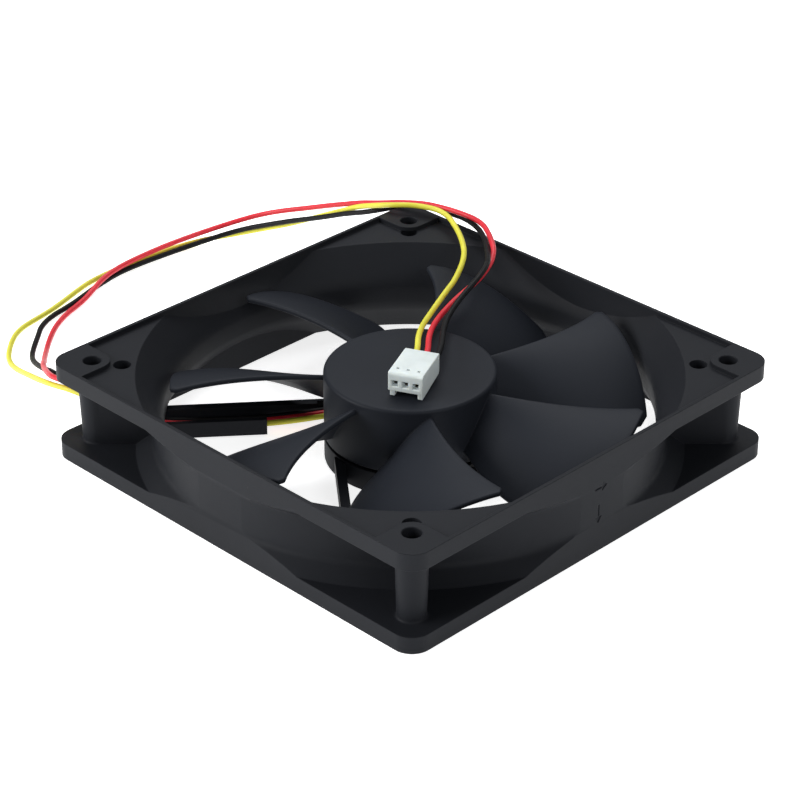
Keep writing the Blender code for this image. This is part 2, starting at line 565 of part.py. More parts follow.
ROUTES = {
    "yellow": start("yellow") + [
        along(60.5, 12.2, 3.5), along(66.5, 12.7, 6.2), (-57.0, -47.2, 9.6),
        (-64.0, -49.8, 11.0), (-72.5, -50.3, 9.8), (-85.0, -47.0, 5.8), (-97.0, -43.0, 2.0), (-103.6, -39.6, 0.8),
        (-111.5, -31.5, 0.8), (-113.9, -26.4, 0.8), (-115.1, -20.5, 0.8), (-116.6, -14.0, 0.8), (-119.0, -6.5, 0.8), (-121.2, 1.2, 0.8),
        (-121.9, 12.5, 0.8), (-119.2, 35.0, 1.2), (-110.9, 45.7, 3.4), (-96.5, 51.2, 9.4), (-79.3, 53.3, 18.1),
        (-69.3, 52.9, 23.1), (-60.4, 52.7, 26.6), (-53.4, 56.7, 27.4), (-46.8, 58.6, 27.4), (-39.6, 56.0, 26.9), (-29.0, 48.5, 25.7),
        (-21.5, 37.7, 25.0), (-17.8, 29.7, 24.7), (-13.8, 21.5, 24.7), (-9.5, 13.7, 25.2), (-5.2, 8.0, 26.0)] + end("yellow", -1),
    "red": start("red") + [
        along(60.5, 13.7, 3.6), along(66.5, 13.6, 7.0), (-58.4, -47.6, 11.4),
        (-65.7, -50.0, 12.8), (-71.0, -50.2, 12.2), (-77.0, -47.6, 10.2), (-85.3, -42.3, 6.8), (-97.7, -32.1, 2.0), (-103.7, -26.3, 0.8),
        (-108.2, -20.6, 0.8), (-111.3, -14.8, 0.8), (-114.0, -7.0, 1.0), (-118.6, 5.5, 2.5),
        (-120.6, 22.5, 2.6), (-116.6, 40.5, 4.4), (-107.5, 51.0, 8.4), (-92.5, 55.2, 14.1), (-75.5, 54.6, 21.3), (-66.0, 54.2, 24.8),
        (-59.2, 56.4, 26.5), (-52.8, 58.9, 27.4), (-47.0, 60.1, 27.7), (-40.8, 60.4, 28.1), (-33.2, 59.4, 28.3), (-24.4, 53.4, 27.7),
        (-17.6, 44.4, 26.2), (-13.2, 27.9, 24.8), (-10.3, 20.2, 24.7), (-6.3, 13.3, 25.2), (-2.4, 8.6, 26.0)] + end("red", 0),
    "black": start("black") + [
        along(60.5, 15.2, 3.5), along(66.5, 15.3, 5.8), (-60.0, -42.6, 7.6),
        (-68.0, -44.6, 8.8), (-75.0, -45.2, 8.8), (-82.0, -43.4, 7.2), (-93.1, -39.1, 3.0), (-100.0, -34.9, 1.0),
        (-107.3, -27.3, 0.8), (-111.0, -22.9, 0.8), (-113.4, -17.0, 0.8), (-114.6, -10.8, 0.8), (-118.6, 3.4, 0.8),
        (-120.0, 12.5, 0.8), (-117.2, 35.0, 1.6), (-110.4, 45.0, 4.6), (-97.6, 50.0, 9.8), (-84.3, 51.6, 15.3),
        (-73.5, 52.3, 20.1), (-66.2, 53.1, 22.9), (-62.2, 56.2, 24.1), (-59.0, 60.6, 24.6), (-53.5, 62.5, 25.0), (-46.6, 62.0, 25.7), (-40.2, 61.0, 26.5), (-33.1, 58.4, 26.9),
        (-22.0, 50.0, 27.4), (-16.1, 42.4, 27.9), (-10.3, 26.5, 26.4), (-6.6, 19.0, 25.8), (-1.4, 12.2, 25.9), (1.6, 8.8, 26.2)] + end("black", 1),
}


def kept_apart(paths, want, held, low):
    """Nudge the leads' points sideways until no two leads are nearer than want; each end's held points stay."""
    names = list(paths)
    for _ in range(90):
        for n in names:
            P = paths[n]
            push = [Vector((0, 0, 0)) for _ in P]
            for m in names:
                if m == n:
                    continue
                Q = paths[m]
                for i, p in enumerate(P):
                    best, way = want, None
                    for j in range(max(0, i - 14), min(len(Q) - 1, i + 14)):
                        a, b = Q[j], Q[j + 1]
                        ab = b - a
                        w = min(1.0, max(0.0, (p - a).dot(ab) / ab.length_squared))
                        v = p - (a + ab * w)
                        if v.length < best:
                            best, way = v.length, v
                    if way is not None:
                        push[i] += way.normalized() * (want - best) * 0.5
            for _ in range(2):
                push = [push[0]] + [(a + b * 2 + c) / 4 for a, b, c in zip(push, push[1:], push[2:])] + [push[-1]]
            for i in range(held[0], len(P) - held[1]):
                P[i] = P[i] + push[i] * 1.4
                P[i].z = max(P[i].z, low)
    return paths


PATHS = kept_apart({c: smooth_route(ROUTES[c], 2.0)[0] for c in ROUTES}, 1.56, (3, 4), 0.78)
LENGTHS = {}
for c, mat in (("yellow", m_yellow), ("red", m_red), ("black", m_blackw)):
    pts, total = smooth_route(PATHS[c], LEAD_STEP)
    LENGTHS[c] = total
    tube(f"lead_{c}", pts, LEAD_D / 2, mat)

for c in ("yellow", "red", "black"):
    print("lead", c, round(LENGTHS[c], 1), "mm")
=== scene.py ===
"""Looks of the case fan: camera, leads, frame, rotor, connector, materials, floor and light.

Everything is in metres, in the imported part's frame: +Z up, the frame's bottom face at z = 0, rotor axis on Z.
Corners of the frame: L (-,-), F (+,-), R (+,+), B (-,+).
"""
import json
import math

import bmesh
import bpy
from mathutils import Matrix, Vector

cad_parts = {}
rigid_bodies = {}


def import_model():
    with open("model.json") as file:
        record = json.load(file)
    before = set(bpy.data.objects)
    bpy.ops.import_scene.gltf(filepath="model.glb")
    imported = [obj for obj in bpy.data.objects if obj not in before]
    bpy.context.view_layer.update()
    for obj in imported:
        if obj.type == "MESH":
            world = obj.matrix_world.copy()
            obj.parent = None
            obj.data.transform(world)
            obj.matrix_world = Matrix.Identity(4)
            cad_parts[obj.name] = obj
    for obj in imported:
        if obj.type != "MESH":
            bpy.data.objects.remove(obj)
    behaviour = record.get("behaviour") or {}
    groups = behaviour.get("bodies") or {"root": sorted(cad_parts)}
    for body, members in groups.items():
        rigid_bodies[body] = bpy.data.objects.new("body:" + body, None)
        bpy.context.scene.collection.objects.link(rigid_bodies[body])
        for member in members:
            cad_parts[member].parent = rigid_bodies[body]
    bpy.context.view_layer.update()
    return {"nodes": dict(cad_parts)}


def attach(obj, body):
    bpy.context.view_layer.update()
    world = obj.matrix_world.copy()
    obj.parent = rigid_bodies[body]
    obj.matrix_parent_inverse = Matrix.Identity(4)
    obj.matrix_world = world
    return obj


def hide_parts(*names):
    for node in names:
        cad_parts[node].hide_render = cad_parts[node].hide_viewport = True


for o in list(bpy.data.objects):
    bpy.data.objects.remove(o)
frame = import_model()
NODES = frame["nodes"]
MM = 0.001
scene = bpy.context.scene

# ================================================================ camera
cam_data = bpy.data.cameras.new("camera")
cam_data.lens = 118.4
cam_data.sensor_width = 36.0
cam_data.sensor_fit = "HORIZONTAL"
cam_data.clip_start, cam_data.clip_end = 0.05, 20
cam = bpy.data.objects.new("camera", cam_data)
scene.collection.objects.link(cam)
cam.location = Vector((377.51, -381.94, 323.05)) * MM
az, el = math.radians(44.921), math.radians(29.90)
back = Vector((math.sin(az) * math.cos(el), -math.cos(az) * math.cos(el), math.sin(el)))
cam.rotation_mode = "QUATERNION"
cam.rotation_quaternion = (-back).to_track_quat("-Z", "Y")
scene.camera = cam

# ================================================================ numbers shared with the CAD (mm and degrees)
SIDE = 120.0            # square side
DEPTH = 25.0            # overall depth
CORNER_R = 5.0          # corner radius of the flanges
FLANGE = 4.2            # flange thickness
RIM = 0.9               # thin wall left along each side of the mouths
THROAT_R = 57.8         # duct bore
MOUTH_R = 64.2          # flared mouths of the duct
FLARE = 7.6             # depth of each flare
DUCT_R = 60.4           # outside of the duct
HOLE_AT = 52.5          # screw holes, 105 mm apart
HOLE_R = 2.15
POST_R = (3.25, 3.75)   # pillar round each screw hole, foot and head
SECOND_AT = (47.6, 49.2)  # second hole beside each pillar: corners L and R, corners F and B
SECOND_R = 2.1
WEB = 3.3               # half width of the web from each pillar to the duct
SECOND_DEEP = 11.0      # the second holes go this deep into the webs
PAD_R = 4.2             # raised pad round each screw hole
RECESS = 1.2            # depth of the corner recess below the pads
# motor base and struts
BASE_R = 20.4
CUP_TOP = 5.6
PLATE_Z = (0.6, 2.0)
TUBE_R = (3.8, 5.0)
TUBE_TOP = 16.9
STRUT_DIR = 230.0       # direction of the strut that carries the leads, degrees
STRUT_OFF = (16.3, 18.6)  # the struts leave the base at a tangent
STRUT_Z = (0.8, 5.0)
STRUT_END = 60.2
# rotor
HUB_R = 20.4
HUB_Z = (6.3, 22.8)
BLADES = 7
TIP_R = 56.2
BLADE_T = 1.25
LEAD_ANGLE = (174.8, 176.8, 182.5)   # leading edge at the hub, half way and the tip, degrees
LEAD_Z = (20.6, 20.9, 21.0)
TRAIL_ANGLE = (147.5, 141.0, 148.8)
TRAIL_Z = (9.3, 7.9, 7.2)
SHAFT_R = 1.5
# leads
LEAD_D = 1.4
LEAD_STEP = 4.1         # distance between the points of a lead
CHANNEL_T = (33.5, 60.2)  # the moulded channel beside the strut, distances along the strut
CHANNEL_OFF = (9.8, 11.0)  # its wall, distances from the axis
CHANNEL_FLOOR = 1.75
CHANNEL_TOP = 4.9
LANE = {"yellow": 11.92, "red": 13.5, "black": 15.08}  # each lead's place in the channel
LANE_Z = 2.62
GAP = 0.3

GAP_H = GAP
CON_AT = Vector((6.65, -5.55, 0.0))
CON_DIR = -64.5
CON_L, CON_W = 12.1, 8.4
CON_Z = (HUB_Z[1] + GAP_H, HUB_Z[1] + GAP_H + 6.1)
FOOT, PITCH, CAV, MOUTH = 1.25, 2.54, 2.0, 1.45
CON_CAV_Z = CON_Z[0] + FOOT + 1.9
x0, x1 = -CON_L / 2, CON_L / 2
con_matrix = Matrix.Translation(CON_AT * MM) @ Matrix.Rotation(math.radians(CON_DIR), 4, "Z")


# ================================================================ helpers and routes, as in the CAD
def outward(o):
    bm = bmesh.new()
    bm.from_mesh(o.data)
    bmesh.ops.recalc_face_normals(bm, faces=bm.faces)
    bm.to_mesh(o.data)
    bm.free()
    return o


def prism(name, outlines, z0, z1):
    """A flat outline, or an outline with holes, extruded from z0 to z1 (mm)."""
    cu = bpy.data.curves.new(name, "CURVE")
    cu.dimensions = "2D"
    cu.fill_mode = "BOTH"
    cu.extrude = (z1 - z0) / 2 * MM
    for pts in outlines:
        s = cu.splines.new("POLY")
        s.points.add(len(pts) - 1)
        for p, (x, y) in zip(s.points, pts):
            p.co = (x * MM, y * MM, 0, 1)
        s.use_cyclic_u = True
    o = bpy.data.objects.new(name, cu)
    o.location = (0, 0, (z0 + z1) / 2 * MM)
    return evaluated(o)


def turned(name, profile, steps, cyclic=True):
    """A profile of (r, z) turned about Z. A cyclic one is a closed loop off the axis."""
    me = bpy.data.meshes.new(name)
    bm = bmesh.new()
    vs = [bm.verts.new((r * MM, 0, z * MM)) for r, z in profile]
    n = len(vs)
    for i in range(n if cyclic else n - 1):
        bm.edges.new((vs[i], vs[(i + 1) % n]))
    bm.to_mesh(me)
    bm.free()
    o = bpy.data.objects.new(name, me)
    m = o.modifiers.new("turn", "SCREW")
    m.axis = "Z"
    m.angle = 2 * math.pi
    m.steps = steps
    m.render_steps = steps
    m.use_merge_vertices = True
    m.merge_threshold = 1e-6
    m.use_normal_calculate = False
    return outward(evaluated(o))


def block(name, lo, hi, turn=0.0):
    """A box from lo to hi (mm), turned about Z by turn degrees."""
    me = bpy.data.meshes.new(name)
    bm = bmesh.new()
    bmesh.ops.create_cube(bm, size=1.0)
    c = [(a + b) / 2 * MM for a, b in zip(lo, hi)]
    s = [(b - a) * MM for a, b in zip(lo, hi)]
    bmesh.ops.scale(bm, vec=s, verts=bm.verts)
    bmesh.ops.translate(bm, vec=c, verts=bm.verts)
    bmesh.ops.rotate(bm, cent=(0, 0, 0), matrix=Matrix.Rotation(math.radians(turn), 3, "Z"), verts=bm.verts)
    bm.to_mesh(me)
    bm.free()
    return bpy.data.objects.new(name, me)


def rod(name, x, y, r, z0, z1, seg=24, r_top=None):
    me = bpy.data.meshes.new(name)
    bm = bmesh.new()
    bmesh.ops.create_cone(bm, cap_ends=True, cap_tris=False, segments=seg, radius1=r * MM, radius2=(r if r_top is None else r_top) * MM, depth=(z1 - z0) * MM)
    bmesh.ops.rotate(bm, cent=(0, 0, 0), matrix=Matrix.Rotation(math.pi / seg, 3, "Z"), verts=bm.verts)
    bmesh.ops.translate(bm, vec=(x * MM, y * MM, (z0 + z1) / 2 * MM), verts=bm.verts)
    bm.to_mesh(me)
    bm.free()
    return bpy.data.objects.new(name, me)


def arc(cx, cy, r, a0, a1, n):
    angles = [math.radians(a0 + (a1 - a0) * k / n) for k in range(n + 1)]
    return [(cx + r * math.cos(a), cy + r * math.sin(a)) for a in angles]


def rounded_square(half, r, n=6):
    pts = []
    for sx, sy, a in ((1, 1, 0), (-1, 1, 90), (-1, -1, 180), (1, -1, 270)):
        pts += arc(sx * (half - r), sy * (half - r), r, a, a + 90, n)
    return pts


def along(t, off, z, spread=0.0):
    """A point beside the strut: t outwards along it, off from the axis."""
    d = Vector((math.cos(math.radians(STRUT_DIR)), math.sin(math.radians(STRUT_DIR)), 0))
    n = Vector((d.y, -d.x, 0))
    return d * t + n * (off + spread) + Vector((0, 0, z))


def at_con(x, y, z):
    p = con_matrix @ Vector((x * MM, y * MM, 0))
    return Vector((p.x / MM, p.y / MM, z))


def smooth_route(points, step):
    """Evenly spaced points on the centripetal Catmull-Rom curve through the route's own points."""
    P = [Vector(p) for p in points]
    P = [P[0] * 2 - P[1]] + P + [P[-1] * 2 - P[-2]]
    fine = []
    for a, b, c, d in zip(P, P[1:], P[2:], P[3:]):
        t0 = 0.0
        t1 = t0 + (b - a).length ** 0.5
        t2 = t1 + (c - b).length ** 0.5
        t3 = t2 + (d - c).length ** 0.5
        for k in range(24):
            t = t1 + (t2 - t1) * k / 24
            a1 = a * ((t1 - t) / (t1 - t0)) + b * ((t - t0) / (t1 - t0))
            a2 = b * ((t2 - t) / (t2 - t1)) + c * ((t - t1) / (t2 - t1))
            a3 = c * ((t3 - t) / (t3 - t2)) + d * ((t - t2) / (t3 - t2))
            b1 = a1 * ((t2 - t) / (t2 - t0)) + a2 * ((t - t0) / (t2 - t0))
            b2 = a2 * ((t3 - t) / (t3 - t1)) + a3 * ((t - t1) / (t3 - t1))
            fine.append(b1 * ((t2 - t) / (t2 - t1)) + b2 * ((t - t1) / (t2 - t1)))
    fine.append(P[-2])
    total = [0.0]
    for a, b in zip(fine, fine[1:]):
        total.append(total[-1] + (b - a).length)
    n = max(2, round(total[-1] / step))
    out, j = [], 0
    for i in range(n + 1):
        s = total[-1] * i / n
        while j < len(total) - 2 and total[j + 1] < s:
            j += 1
        w = (s - total[j]) / max(1e-9, total[j + 1] - total[j])
        out.append(fine[j].lerp(fine[j + 1], w))
    return out, total[-1]


# height of each lead's solder pad is the board's; off is its distance from the axis
PAD_OFF = {"yellow": 12.0, "red": 14.0, "black": 16.0}


def start(c):
    """From the board's edge, along the channel, to the slot in the duct."""
    off, lane = PAD_OFF[c], LANE[c]
    t0 = math.sqrt(17.5 ** 2 - (off - 0.75) ** 2) + 0.45
    return [along(t0, off, 4.2), along(t0 + 3.0, off * 0.8 + lane * 0.2, 4.2), along(27.0, lane, 3.1),
            along(34.0, lane, LANE_Z), along(45.0, lane, LANE_Z), along(53.5, lane, LANE_Z + 0.1)]


def end(c, i):
    y = i * PITCH
    return [at_con(x0 - 3.0, y, CON_CAV_Z), at_con(x0 + 0.5, y, CON_CAV_Z), at_con(x0 + 1.9, y, CON_CAV_Z)]


ROUTES = {
    "yellow": start("yellow") + [
        along(60.5, 12.2, 3.5), along(66.5, 12.7, 6.2), (-57.0, -47.2, 9.6),
        (-64.0, -49.8, 11.0), (-72.5, -50.3, 9.8), (-85.0, -47.0, 5.8), (-97.0, -43.0, 2.0), (-103.6, -39.6, 0.8),
        (-111.5, -31.5, 0.8), (-113.9, -26.4, 0.8), (-115.1, -20.5, 0.8), (-116.6, -14.0, 0.8), (-119.0, -6.5, 0.8), (-121.2, 1.2, 0.8),
        (-121.9, 12.5, 0.8), (-119.2, 35.0, 1.2), (-110.9, 45.7, 3.4), (-96.5, 51.2, 9.4), (-79.3, 53.3, 18.1),
        (-69.3, 52.9, 23.1), (-60.4, 52.7, 26.6), (-53.4, 56.7, 27.4), (-46.8, 58.6, 27.4), (-39.6, 56.0, 26.9), (-29.0, 48.5, 25.7),
        (-21.5, 37.7, 25.0), (-17.8, 29.7, 24.7), (-13.8, 21.5, 24.7), (-9.5, 13.7, 25.2), (-5.2, 8.0, 26.0)] + end("yellow", -1),
    "red": start("red") + [
        along(60.5, 13.7, 3.6), along(66.5, 13.6, 7.0), (-58.4, -47.6, 11.4),
        (-65.7, -50.0, 12.8), (-71.0, -50.2, 12.2), (-77.0, -47.6, 10.2), (-85.3, -42.3, 6.8), (-97.7, -32.1, 2.0), (-103.7, -26.3, 0.8),
        (-108.2, -20.6, 0.8), (-111.3, -14.8, 0.8), (-114.0, -7.0, 1.0), (-118.6, 5.5, 2.5),
        (-120.6, 22.5, 2.6), (-116.6, 40.5, 4.4), (-107.5, 51.0, 8.4), (-92.5, 55.2, 14.1), (-75.5, 54.6, 21.3), (-66.0, 54.2, 24.8),
        (-59.2, 56.4, 26.5), (-52.8, 58.9, 27.4), (-47.0, 60.1, 27.7), (-40.8, 60.4, 28.1), (-33.2, 59.4, 28.3), (-24.4, 53.4, 27.7),
        (-17.6, 44.4, 26.2), (-13.2, 27.9, 24.8), (-10.3, 20.2, 24.7), (-6.3, 13.3, 25.2), (-2.4, 8.6, 26.0)] + end("red", 0),
    "black": start("black") + [
        along(60.5, 15.2, 3.5), along(66.5, 15.3, 5.8), (-60.0, -42.6, 7.6),
        (-68.0, -44.6, 8.8), (-75.0, -45.2, 8.8), (-82.0, -43.4, 7.2), (-93.1, -39.1, 3.0), (-100.0, -34.9, 1.0),
        (-107.3, -27.3, 0.8), (-111.0, -22.9, 0.8), (-113.4, -17.0, 0.8), (-114.6, -10.8, 0.8), (-118.6, 3.4, 0.8),
        (-120.0, 12.5, 0.8), (-117.2, 35.0, 1.6), (-110.4, 45.0, 4.6), (-97.6, 50.0, 9.8), (-84.3, 51.6, 15.3),
        (-73.5, 52.3, 20.1), (-66.2, 53.1, 22.9), (-62.2, 56.2, 24.1), (-59.0, 60.6, 24.6), (-53.5, 62.5, 25.0), (-46.6, 62.0, 25.7), (-40.2, 61.0, 26.5), (-33.1, 58.4, 26.9),
        (-22.0, 50.0, 27.4), (-16.1, 42.4, 27.9), (-10.3, 26.5, 26.4), (-6.6, 19.0, 25.8), (-1.4, 12.2, 25.9), (1.6, 8.8, 26.2)] + end("black", 1),
}


def kept_apart(paths, want, held, low):
    """Nudge the leads' points sideways until no two leads are nearer than want; each end's held points stay."""
    names = list(paths)
    for _ in range(90):
        for n in names:
            P = paths[n]
            push = [Vector((0, 0, 0)) for _ in P]
            for m in names:
                if m == n:
                    continue
                Q = paths[m]
                for i, p in enumerate(P):
                    best, way = want, None
                    for j in range(max(0, i - 14), min(len(Q) - 1, i + 14)):
                        a, b = Q[j], Q[j + 1]
                        ab = b - a
                        w = min(1.0, max(0.0, (p - a).dot(ab) / ab.length_squared))
                        v = p - (a + ab * w)
                        if v.length < best:
                            best, way = v.length, v
                    if way is not None:
                        push[i] += way.normalized() * (want - best) * 0.5
            for _ in range(2):
                push = [push[0]] + [(a + b * 2 + c) / 4 for a, b, c in zip(push, push[1:], push[2:])] + [push[-1]]
            for i in range(held[0], len(P) - held[1]):
                P[i] = P[i] + push[i] * 1.4
                P[i].z = max(P[i].z, low)
    return paths


PATHS = kept_apart({c: smooth_route(ROUTES[c], 2.0)[0] for c in ROUTES}, 1.56, (3, 4), 0.78)

# ================================================================ materials
PLASTIC_IOR = 1.46
FRAME_TONE = ((0.0105, 0.0113, 0.0138), (0.0125, 0.0136, 0.0165))
ROTOR_TONE = ((0.0112, 0.0128, 0.0168), (0.0140, 0.0160, 0.0210))


def new_mat(name):
    m = bpy.data.materials.new(name)
    m.use_nodes = True
    nt = m.node_tree
    return m, nt, nt.nodes["Principled BSDF"], nt.nodes.new("ShaderNodeTexCoord").outputs["Object"]


def noise(nt, coord, scale, detail=3.0, rough=0.5, distortion=0.0):
    n = nt.nodes.new("ShaderNodeTexNoise")
    n.inputs["Scale"].default_value = scale
    n.inputs["Detail"].default_value = detail
    n.inputs["Roughness"].default_value = rough
    n.inputs["Distortion"].default_value = distortion
    nt.links.new(coord, n.inputs["Vector"])
    return n.outputs["Fac"]


def ramp(nt, fac, stops):
    r = nt.nodes.new("ShaderNodeValToRGB")
    e = r.color_ramp.elements
    while len(e) < len(stops):
        e.new(0.5)
    for k, (p, c) in zip(e, stops):
        k.position = p
        k.color = (*c, 1) if len(c) == 3 else c
    nt.links.new(fac, r.inputs["Fac"])
    return r.outputs["Color"]


def span(nt, fac, lo, hi, a=0.0, b=1.0):
    r = nt.nodes.new("ShaderNodeMapRange")
    for k, v in zip(("From Min", "From Max", "To Min", "To Max"), (a, b, lo, hi)):
        r.inputs[k].default_value = v
    nt.links.new(fac, r.inputs["Value"])
    return r.outputs["Result"]


def math_node(nt, op, a, b):
    n = nt.nodes.new("ShaderNodeMath")
    n.operation = op
    for s, v in zip(n.inputs, (a, b)):
        if isinstance(v, (int, float)):
            s.default_value = v
        else:
            nt.links.new(v, s)
    return n.outputs[0]


def bump(nt, height, strength, distance, normal=None):
    b = nt.nodes.new("ShaderNodeBump")
    b.inputs["Strength"].default_value = strength
    b.inputs["Distance"].default_value = distance
    nt.links.new(height, b.inputs["Height"])
    if normal is not None:
        nt.links.new(normal, b.inputs["Normal"])
    return b.outputs["Normal"]


def mix_color(nt, fac, a, b):
    n = nt.nodes.new("ShaderNodeMix")
    n.data_type = "RGBA"
    for s, v in ((n.inputs[0], fac), (n.inputs[6], a), (n.inputs[7], b)):
        if isinstance(v, (int, float)):
            s.default_value = v
        elif isinstance(v, tuple):
            s.default_value = (*v, 1)
        else:
            nt.links.new(v, s)
    return n.outputs[2]


def moulded(name, dark, light, rough, grain=0.35):
    """Satin black moulding: fine spark-eroded grain, faint flow tone, softened edges, a few dust specks."""
    m, nt, b, co = new_mat(name)
    clouds = noise(nt, co, 28, 3, 0.5, 0.3)
    col = ramp(nt, clouds, [(0.25, dark), (0.75, light)])
    scuff = noise(nt, co, 420, 3, 0.6)
    v = nt.nodes.new("ShaderNodeTexVoronoi")
    v.inputs["Scale"].default_value = 210
    nt.links.new(co, v.inputs["Vector"])
    speck = span(nt, v.outputs["Distance"], 1.0, 0.0, 0.030, 0.055)
    keep = span(nt, noise(nt, co, 45, 1), 0.0, 1.0, 0.66, 0.70)
    speck = math_node(nt, "MULTIPLY", math_node(nt, "MULTIPLY", speck, keep), 0.16)
    col = mix_color(nt, speck, col, (0.14, 0.14, 0.135))
    nt.links.new(col, b.inputs["Base Color"])
    r = math_node(nt, "ADD", span(nt, clouds, rough - 0.02, rough + 0.02), math_node(nt, "MULTIPLY", scuff, 0.04))
    nt.links.new(r, b.inputs["Roughness"])
    fine = noise(nt, co, 5200, 2, 0.6)
    coarse = noise(nt, co, 1300, 3, 0.55)
    h = math_node(nt, "ADD", fine, math_node(nt, "MULTIPLY", coarse, 0.5))
    soft = nt.nodes.new("ShaderNodeBevel")
    soft.samples = 6
    soft.inputs["Radius"].default_value = 0.00032
    nt.links.new(bump(nt, h, grain, 0.00002, soft.outputs["Normal"]), b.inputs["Normal"])
    b.inputs["IOR"].default_value = PLASTIC_IOR
    b.inputs["Specular IOR Level"].default_value = 0.10
    return m


def insulation(name, dark, light, rough=0.34, shine=0.35):
    """PVC insulation: a soft gloss, a faint uneven tone, slight scuffs."""
    m, nt, b, co = new_mat(name)
    tone = noise(nt, co, 160, 3, 0.5)
    nt.links.new(ramp(nt, tone, [(0.3, dark), (0.7, light)]), b.inputs["Base Color"])
    scuff = noise(nt, co, 900, 4, 0.6, 0.6)
    nt.links.new(span(nt, scuff, rough - 0.04, rough + 0.14, 0.3, 0.7), b.inputs["Roughness"])
    nt.links.new(bump(nt, scuff, 0.08, 0.00003), b.inputs["Normal"])
    b.inputs["Specular IOR Level"].default_value = shine
    b.inputs["Coat Weight"].default_value = shine * 0.2
    b.inputs["Coat Roughness"].default_value = 0.25
    return m


def nylon(name, base, shade, rough=0.42, scatter=0.25):
    """Natural nylon: milky, slightly translucent, with faint flow marks."""
    m, nt, b, co = new_mat(name)
    tone = noise(nt, co, 260, 3, 0.5, 0.8)
    nt.links.new(ramp(nt, tone, [(0.25, shade), (0.7, base)]), b.inputs["Base Color"])
    nt.links.new(span(nt, noise(nt, co, 1500, 3), rough - 0.06, rough + 0.08), b.inputs["Roughness"])
    nt.links.new(bump(nt, noise(nt, co, 2600, 2), 0.15, 0.00002), b.inputs["Normal"])
    b.inputs["Subsurface Weight"].default_value = scatter
    b.inputs["Subsurface Radius"].default_value = (0.0011, 0.0010, 0.0008)
    b.inputs["Subsurface Scale"].default_value = 1.0
    return m


def metal(name, dark, light, rough, grain=900.0, stretch=(1, 1, 1)):
    m, nt, b, co = new_mat(name)
    mp = nt.nodes.new("ShaderNodeMapping")
    mp.inputs["Scale"].default_value = stretch
    nt.links.new(co, mp.inputs["Vector"])
    n = noise(nt, mp.outputs["Vector"], grain, 4, 0.6)
    nt.links.new(ramp(nt, n, [(0.25, dark), (0.75, light)]), b.inputs["Base Color"])
    nt.links.new(span(nt, n, rough - 0.07, rough + 0.10), b.inputs["Roughness"])
    nt.links.new(bump(nt, n, 0.2, 0.00003), b.inputs["Normal"])
    b.inputs["Metallic"].default_value = 1.0
    return m


def plain(name, dark, light, rough, scale=300.0, grain=1500.0):
    m, nt, b, co = new_mat(name)
    nt.links.new(ramp(nt, noise(nt, co, scale, 3), [(0.3, dark), (0.7, light)]), b.inputs["Base Color"])
    n = noise(nt, co, grain, 3)
    nt.links.new(span(nt, n, rough - 0.06, rough + 0.08), b.inputs["Roughness"])
    nt.links.new(bump(nt, n, 0.2, 0.00003), b.inputs["Normal"])
    return m


M = {
    "frame": moulded("frame_plastic", FRAME_TONE[0], FRAME_TONE[1], 0.50),
    "rotor": moulded("rotor_plastic", ROTOR_TONE[0], ROTOR_TONE[1], 0.46, 0.25),
    "yellow": insulation("lead_yellow", (0.56, 0.52, 0.040), (0.66, 0.62, 0.060), 0.36, 0.25),
    "red": insulation("lead_red", (0.52, 0.014, 0.026), (0.62, 0.026, 0.040), 0.36, 0.25),
    "black": insulation("lead_black", (0.0030, 0.0030, 0.0034), (0.0052, 0.0052, 0.0058), 0.46, 0.12),
    "housing": nylon("connector_nylon", (0.60, 0.65, 0.64), (0.54, 0.59, 0.58), 0.5, 0.45),
    "tin": metal("terminal_tin", (0.34, 0.33, 0.30), (0.62, 0.61, 0.57), 0.34),
    "yoke": metal("yoke_steel", (0.22, 0.22, 0.22), (0.40, 0.40, 0.39), 0.38),
    "magnet": plain("magnet_ferrite", (0.030, 0.028, 0.026), (0.055, 0.050, 0.046), 0.6),
    "shaft": metal("shaft_steel", (0.45, 0.45, 0.46), (0.62, 0.62, 0.63), 0.2, 500, (1, 1, 12)),
    "washer": nylon("washer_nylon", (0.80, 0.78, 0.70), (0.70, 0.68, 0.60), 0.5, 0.1),
    "clip": nylon("clip_nylon", (0.78, 0.77, 0.72), (0.68, 0.67, 0.62), 0.5, 0.1),
    "bronze": metal("bearing_bronze", (0.32, 0.20, 0.09), (0.52, 0.36, 0.16), 0.4, 2200),
    "core": metal("core_steel", (0.13, 0.13, 0.14), (0.30, 0.30, 0.31), 0.42, 700, (1, 1, 26)),
    "insulator": nylon("insulator_plastic", (0.72, 0.71, 0.66), (0.62, 0.61, 0.56), 0.5, 0.1),
    "copper": metal("coil_copper", (0.34, 0.10, 0.03), (0.62, 0.25, 0.09), 0.3, 1100, (1, 1, 9)),
    "board": plain("board_laminate", (0.010, 0.075, 0.025), (0.018, 0.110, 0.040), 0.38, 500, 2600),
    "chip": plain("chip_plastic", (0.012, 0.012, 0.013), (0.020, 0.020, 0.021), 0.5, 900),
    "capacitor": plain("capacitor_ceramic", (0.36, 0.24, 0.13), (0.46, 0.32, 0.18), 0.45, 700),
    "plug": plain("plug_rubber", (0.018, 0.018, 0.018), (0.034, 0.034, 0.034), 0.72, 500),
    "label": plain("label_film", (0.52, 0.53, 0.54), (0.60, 0.61, 0.62), 0.36, 120, 700),
}
